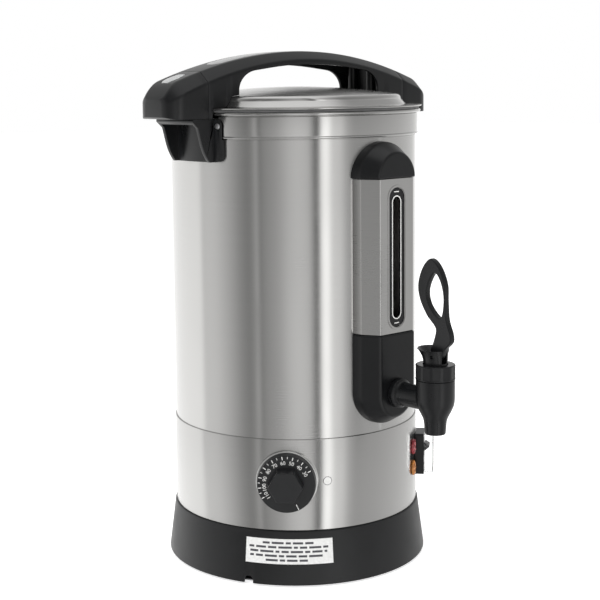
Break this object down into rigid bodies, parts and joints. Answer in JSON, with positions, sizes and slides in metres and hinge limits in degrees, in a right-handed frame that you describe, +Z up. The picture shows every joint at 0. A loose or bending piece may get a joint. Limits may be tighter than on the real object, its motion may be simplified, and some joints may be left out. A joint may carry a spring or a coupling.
{
  "type": "electric brew kettle with tap",
  "caption": "Upright steel brew kettle on a black base, with a lift-off lid under an arched handle, a level gauge, a lever tap, a temperature dial and a rocker switch.",
  "frame": {"origin": "centre of the base, on the surface that the rubber feet stand on", "axes": "+Z up; -Y towards the tap (front); the carrying handles lie along X; the inlet is at +Y"},
  "size_m": [0.314, 0.3137, 0.46],
  "materials": {
    "brushed_steel": "brushed along the circumference, satin",
    "polished_steel": "fine turned finish, nearly polished",
    "black_plastic": "satin moulded black with a fine grain",
    "knob_plastic": "smooth satin black, white figures",
    "silver_trim": "satin silver strip",
    "pad_grey": "grey inlaid pad",
    "silicone": "dark silicone",
    "clear_glass": "clear tube",
    "clear_cap": "clear soft splash cover",
    "red_lens": "red lens",
    "amber_lens": "amber lens",
    "aluminium": "cast plate",
    "zinc_steel": "zinc plated steel",
    "rubber": "black rubber"
  },
  "bodies": {
    "kettle": {"control_shell": "brushed_steel", "tank": "brushed_steel", "rim_band": "brushed_steel", "gauge_cover": "brushed_steel", "dial_bezel": "polished_steel", "base_shell": "black_plastic", "carrying_handle_left": "black_plastic", "carrying_handle_right": "black_plastic", "gauge_cap": "black_plastic", "gauge_foot": "black_plastic", "level_scale": "black_plastic", "level_tee": "black_plastic", "tap_body": "black_plastic", "tap_collar": "black_plastic", "tap_bonnet": "black_plastic", "switch_body": "black_plastic", "power_inlet": "black_plastic", "sight_tube_stopper": "silicone", "tank_gasket_outer": "silicone", "tank_gasket_inner": "silicone", "sight_tube": "clear_glass", "switch_cover": "clear_cap", "power_lamp": "red_lens", "ready_lamp": "amber_lens", "heat_spreader": "aluminium", "bottom_plate": "zinc_steel", "heating_element": "zinc_steel", "boil_dry_cutout": "zinc_steel", "carrying_handle_screw_1": "zinc_steel", "carrying_handle_screw_2": "zinc_steel", "carrying_handle_screw_3": "zinc_steel", "carrying_handle_screw_4": "zinc_steel", "tap_nut": "zinc_steel", "lever_pin": "zinc_steel", "tap_spring": "zinc_steel", "thermostat": "zinc_steel", "rubber_foot_1": "rubber", "rubber_foot_2": "rubber", "rubber_foot_3": "rubber", "rubber_foot_4": "rubber"},
    "lid_seal": {"lid_seal": "silicone"},
    "lid": {"lid_pan": "polished_steel", "lid_handle_arch": "black_plastic", "lid_handle_end_left": "black_plastic", "lid_handle_end_right": "black_plastic", "handle_inlay": "silver_trim", "handle_pad": "pad_grey", "handle_screw_1": "zinc_steel", "handle_screw_2": "zinc_steel", "handle_screw_3": "zinc_steel", "handle_screw_4": "zinc_steel"},
    "tap_lever": {"tap_lever": "black_plastic"},
    "tap_valve": {"valve_stem": "black_plastic", "seat_cup": "silicone"},
    "thermostat_dial": {"thermostat_knob": "knob_plastic", "thermostat_shaft": "zinc_steel"},
    "power_rocker": {"switch_rocker": "black_plastic"}
  },
  "joints": [
    {"name": "lid_twist", "type": "hinge", "parent": "kettle", "child": "lid_seal", "pos_m": [0, 0, 0.4095], "axis": [0, 0, 1], "range_deg": [0, 30]},
    {"name": "lid_lift", "type": "slide", "parent": "lid_seal", "child": "lid", "axis": [0, 0, 1], "range_m": [0, 0.09]},
    {"name": "tap_lever_pull", "type": "hinge", "parent": "kettle", "child": "tap_lever", "pos_m": [0, -0.1795, 0.205], "axis": [1, 0, 0], "range_deg": [0, 25], "stiffness_Nm_per_rad": 0.25, "springref_deg": -28.65},
    {"name": "tap_valve_lift", "type": "slide", "parent": "kettle", "child": "tap_valve", "axis": [0, 0, 1], "range_m": [0, 0.004], "deforming": ["tap_spring"]},
    {"name": "thermostat_turn", "type": "hinge", "parent": "kettle", "child": "thermostat_dial", "pos_m": [-0.08632, -0.08336, 0.093], "axis": [0.7193, 0.6947, 0], "range_deg": [-55, 225]},
    {"name": "power_switch", "type": "hinge", "parent": "kettle", "child": "power_rocker", "pos_m": [0.07379, -0.08794, 0.0917], "axis": [-0.766, -0.6428, 0], "range_deg": [0, 30]}
  ],
  "couplings": [
    {"joint": "tap_lever_pull", "follows": "tap_valve_lift", "rad_per_m": 109}
  ]
}
